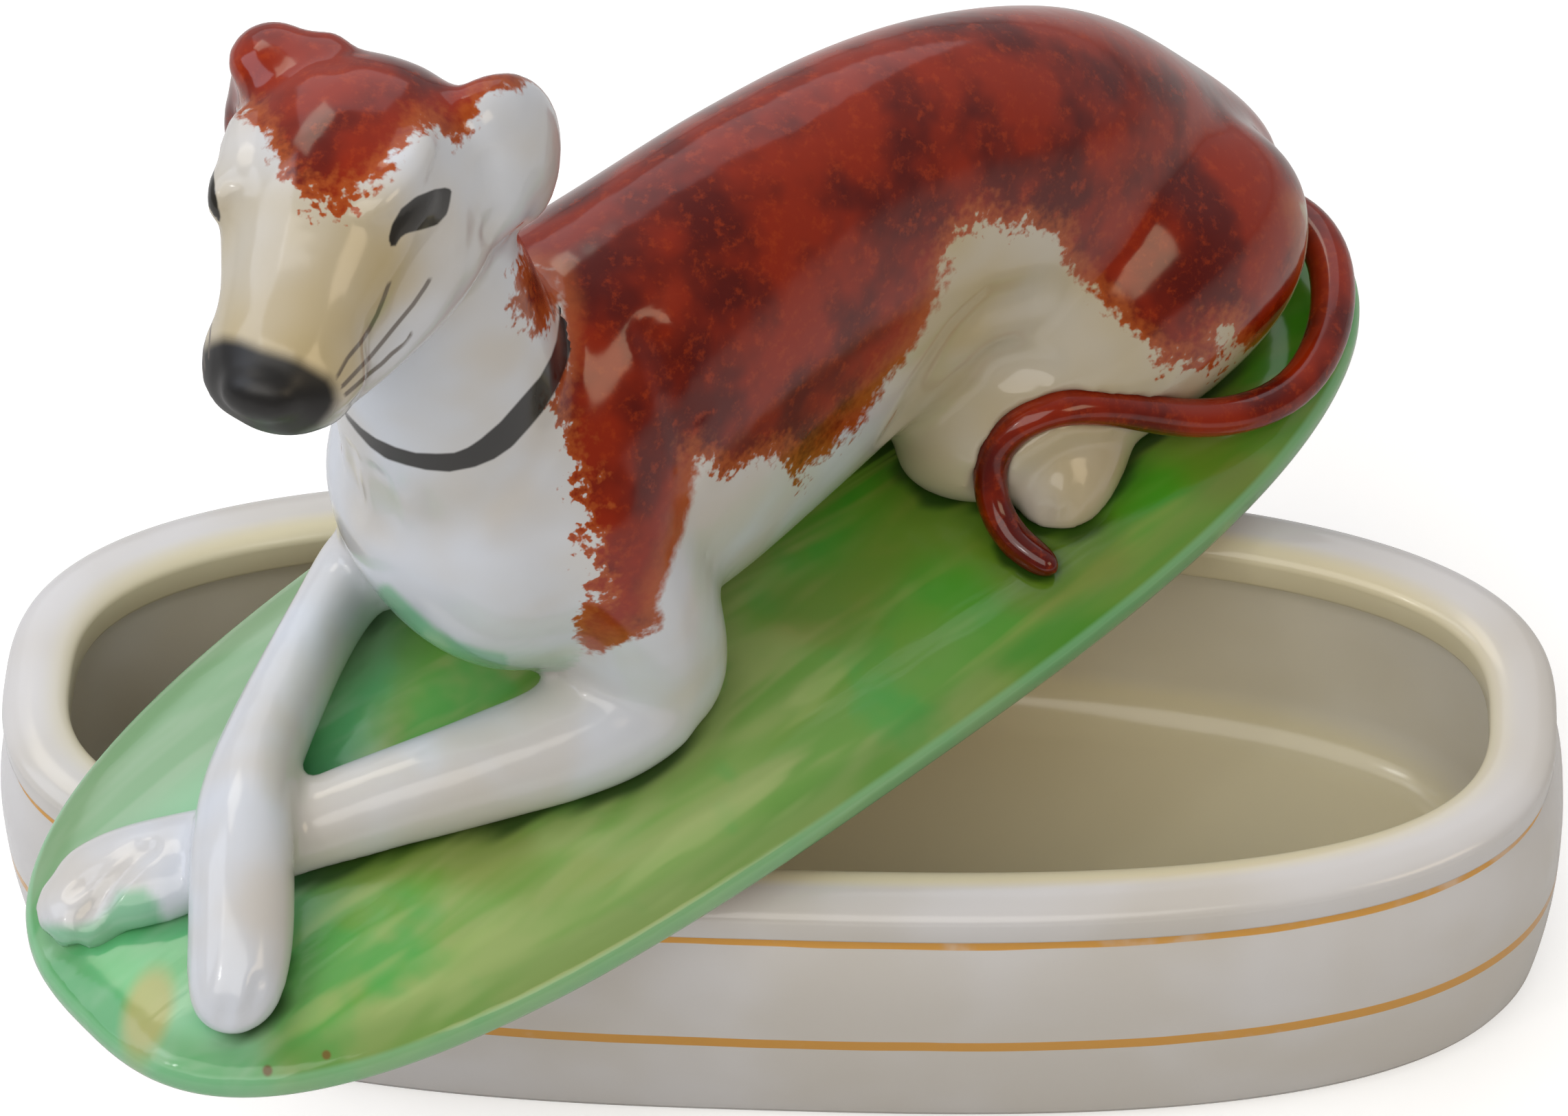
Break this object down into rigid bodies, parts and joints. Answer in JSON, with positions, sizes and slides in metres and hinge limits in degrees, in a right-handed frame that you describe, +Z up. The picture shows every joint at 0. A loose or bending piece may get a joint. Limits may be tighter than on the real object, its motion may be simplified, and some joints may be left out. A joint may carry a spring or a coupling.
{
  "type": "trinket box",
  "caption": "Long oval glazed porcelain tray with a lift-off lid, whose green mound carries a lying greyhound with crossed forelegs.",
  "frame": {"origin": "middle of the flat underside of the tray's foot", "axes": "+X along the tray's length, +Z up; the lid is stored turned 43.6 degrees about +Z and resting across the tray's rim, as in the picture, with the dog's paws toward -X -Y"},
  "size_m": [0.1668, 0.1318, 0.1442],
  "materials": {
    "tray_glaze": "white glossy glaze, two thin gold lines round the wall",
    "mound_glaze": "mottled green glossy glaze, white unpainted underside",
    "dog_glaze": "glossy glaze, russet coat sponged over white, black collar, eyes and nose"
  },
  "bodies": {
    "tray": {"tray_body": "tray_glaze"},
    "lid": {"lid_plate": "mound_glaze", "dog_torso": "dog_glaze", "dog_neck": "dog_glaze", "dog_head": "dog_glaze", "ear_left": "dog_glaze", "ear_right": "dog_glaze", "foreleg_left": "dog_glaze", "foreleg_right": "dog_glaze", "hind_leg_left": "dog_glaze", "hind_leg_right": "dog_glaze", "tail": "dog_glaze"}
  },
  "joints": [
    {"name": "lid_lift", "type": "slide", "parent": "tray", "child": "lid", "axis": [0, 0, 1], "range_m": [0, 0.06]}
  ]
}
